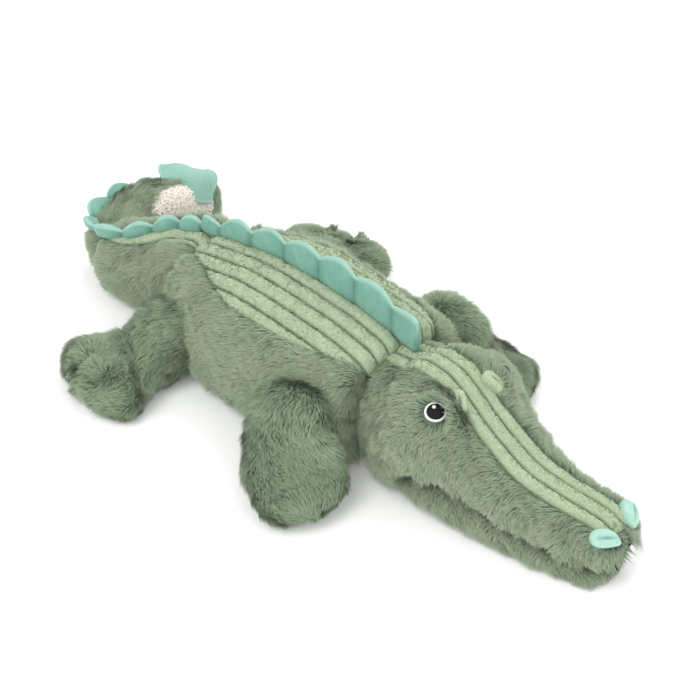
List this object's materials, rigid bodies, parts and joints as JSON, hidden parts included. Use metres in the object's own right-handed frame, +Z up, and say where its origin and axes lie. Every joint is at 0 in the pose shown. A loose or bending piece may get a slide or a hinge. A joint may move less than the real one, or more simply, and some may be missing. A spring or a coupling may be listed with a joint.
{
  "type": "plush crocodile",
  "caption": "Stuffed crocodile lying on its belly, with a ribbed back, a scalloped velour frill, a long snout that opens, jointed legs and a folded tail.",
  "frame": {"origin": "on the floor plane under the belly, near the middle of the torso and on its middle plane", "axes": "+X to the snout, +Y to the crocodile's left, +Z up"},
  "size_m": [0.5436, 0.2765, 0.1233],
  "materials": {
    "sage_fur": "long soft pile",
    "ribbed_plush": "short pile in wide ribs",
    "cream_sherpa": "curly pile",
    "aqua_velour": "short smooth pile",
    "mint_velour": "short smooth pile",
    "white_thread": "satin stitch",
    "black_thread": "satin stitch",
    "mouth_lining": "flat woven",
    "fibre_filling": "loose fibre"
  },
  "bodies": {
    "torso": {"torso_stuffing": "fibre_filling", "torso_side_left": "sage_fur", "torso_side_right": "sage_fur", "back_panel_left": "ribbed_plush", "back_panel_right": "ribbed_plush", "belly_panel": "cream_sherpa", "back_frill_left": "aqua_velour", "back_frill_right": "aqua_velour"},
    "head": {"head_stuffing": "fibre_filling", "head_side_left": "sage_fur", "head_side_right": "sage_fur", "head_top_panel": "ribbed_plush", "mouth_roof": "mouth_lining", "eye_white_left": "white_thread", "eye_white_right": "white_thread", "eye_black_left": "black_thread", "eye_black_right": "black_thread", "eye_glint_left": "white_thread", "eye_glint_right": "white_thread", "brow_left": "ribbed_plush", "brow_right": "ribbed_plush", "nostril_left": "mint_velour", "nostril_right": "mint_velour"},
    "jaw": {"jaw_stuffing": "fibre_filling", "jaw_cover": "sage_fur", "jaw_lining": "mouth_lining"},
    "tail_base": {"tail_base_stuffing": "fibre_filling", "tail_base_side_left": "sage_fur", "tail_base_side_right": "sage_fur", "tail_base_back_left": "ribbed_plush", "tail_base_back_right": "ribbed_plush", "tail_base_belly": "cream_sherpa", "tail_base_frill_left": "aqua_velour", "tail_base_frill_right": "aqua_velour"},
    "tail_tip": {"tail_tip_stuffing": "fibre_filling", "tail_tip_side_left": "sage_fur", "tail_tip_side_right": "sage_fur", "tail_tip_belly": "cream_sherpa", "tail_tip_frill_left": "aqua_velour", "tail_tip_frill_right": "aqua_velour"},
    "front_leg_left": {"front_leg_left_stuffing": "fibre_filling", "front_leg_left_upper": "sage_fur", "front_leg_left_under": "sage_fur"},
    "front_leg_right": {"front_leg_right_stuffing": "fibre_filling", "front_leg_right_upper": "sage_fur", "front_leg_right_under": "sage_fur"},
    "hind_leg_left": {"hind_leg_left_stuffing": "fibre_filling", "hind_leg_left_upper": "sage_fur", "hind_leg_left_under": "sage_fur"},
    "hind_leg_right": {"hind_leg_right_stuffing": "fibre_filling", "hind_leg_right_upper": "sage_fur", "hind_leg_right_under": "sage_fur"}
  },
  "joints": [
    {"name": "neck_turn", "type": "hinge", "parent": "torso", "child": "head", "pos_m": [0.088, 0, 0.0415], "axis": [0, 0, 1], "range_deg": [-12, 12]},
    {"name": "jaw_open", "type": "hinge", "parent": "head", "child": "jaw", "pos_m": [0.118, 0, 0.01543], "axis": [0, 1, 0], "range_deg": [0, 16]},
    {"name": "tail_swing", "type": "hinge", "parent": "torso", "child": "tail_base", "pos_m": [-0.138, 0, 0.036], "axis": [0, 0, 1], "range_deg": [-12, 12]},
    {"name": "tail_curl", "type": "hinge", "parent": "tail_base", "child": "tail_tip", "pos_m": [-0.2303, -0.00889, 0.0255], "axis": [0, 0, 1], "range_deg": [-8, 18]},
    {"name": "front_leg_left_lift", "type": "hinge", "parent": "torso", "child": "front_leg_left", "pos_m": [0.044, 0.072, 0.056], "axis": [0.9719, -0.1031, 0.2115], "range_deg": [0, 45]},
    {"name": "front_leg_right_lift", "type": "hinge", "parent": "torso", "child": "front_leg_right", "pos_m": [0.044, -0.072, 0.056], "axis": [-0.973, -0.1258, -0.1937], "range_deg": [0, 45]},
    {"name": "hind_leg_left_swing", "type": "hinge", "parent": "torso", "child": "hind_leg_left", "pos_m": [-0.1, 0.057, 0.0295], "axis": [0, 0, 1], "range_deg": [-8, 8]},
    {"name": "hind_leg_right_swing", "type": "hinge", "parent": "torso", "child": "hind_leg_right", "pos_m": [-0.1, -0.057, 0.0295], "axis": [0, 0, 1], "range_deg": [-8, 7]}
  ]
}
